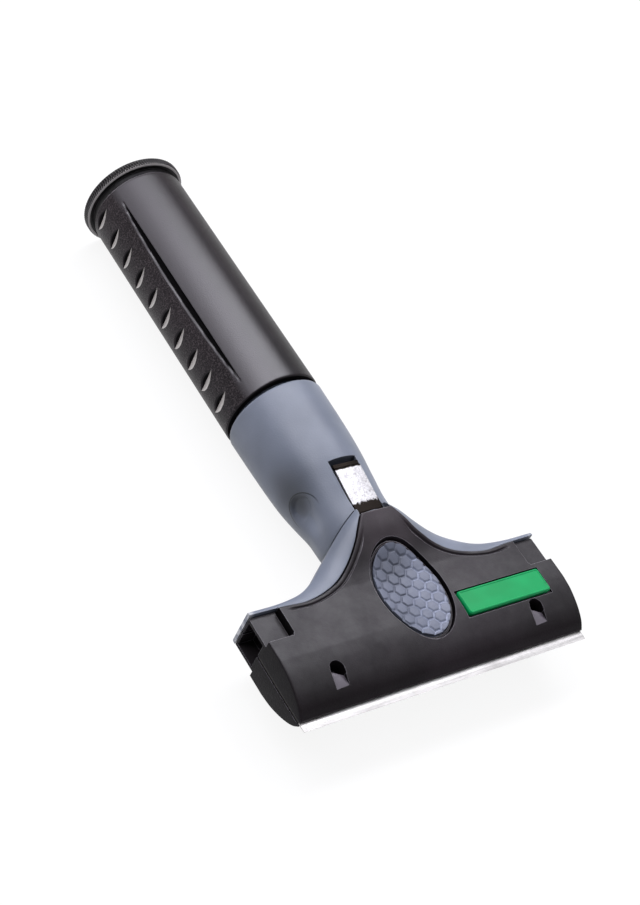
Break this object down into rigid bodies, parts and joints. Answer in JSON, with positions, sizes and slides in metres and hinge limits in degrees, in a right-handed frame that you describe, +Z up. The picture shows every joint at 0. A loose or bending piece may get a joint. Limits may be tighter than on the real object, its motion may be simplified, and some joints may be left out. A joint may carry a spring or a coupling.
{
  "type": "hand scraper",
  "caption": "Hand scraper with a steel blade in a flared head, a push button that frees the blade, a tube neck and a soft grip with a pole socket.",
  "frame": {"origin": "middle of the part's box in plan, on the surface that the tool lies on", "axes": "+X along the blade, +Y from the blade to the rear end of the grip, +Z up through the badge side of the head"},
  "size_m": [0.1004, 0.1924, 0.0334],
  "materials": {
    "grey_plastic": "blue-grey moulded plastic, satin",
    "black_plastic": "black moulded plastic, satin",
    "soft_grip": "black soft grip, fine grain",
    "soft_pad": "blue-grey soft plastic with hexagons",
    "leaf_steel": "bright bare steel",
    "spring_steel": "plain spring steel",
    "blade_steel": "ground blade steel",
    "badge_plastic": "green, satin"
  },
  "bodies": {
    "body": {"handle_body": "grey_plastic", "grip_sleeve": "soft_grip", "end_ring": "black_plastic", "cover_top": "black_plastic", "cover_bottom": "black_plastic", "badge_plate": "badge_plastic", "screw_left": "spring_steel", "screw_right": "spring_steel", "spring_left": "spring_steel", "spring_right": "spring_steel"},
    "button": {"button_shell": "black_plastic", "button_pad": "soft_pad"},
    "clamp": {"clamp_plate": "spring_steel"},
    "blade": {"blade": "blade_steel"},
    "leaf": {"pole_leaf": "leaf_steel"}
  },
  "joints": [
    {"name": "button_press", "type": "slide", "parent": "body", "child": "button", "axis": [0, 0, -1], "range_m": [0, 0.0016], "stiffness_N_per_m": 1200, "springref_m": -0.002},
    {"name": "clamp_drop", "type": "slide", "parent": "body", "child": "clamp", "axis": [0, 0, -1], "range_m": [0, 0.0016], "deforming": ["spring_left", "spring_right"]},
    {"name": "blade_slide", "type": "slide", "parent": "body", "child": "blade", "axis": [1, 0, 0], "range_m": [0, 0.105]},
    {"name": "leaf_press", "type": "hinge", "parent": "body", "child": "leaf", "pos_m": [0, -0.04345, 0.0275], "axis": [-1, 0, 0], "range_deg": [0, 9], "stiffness_Nm_per_rad": 0.5, "springref_deg": -8.59}
  ],
  "couplings": [
    {"joint": "clamp_drop", "follows": "button_press", "ratio": 1}
  ]
}
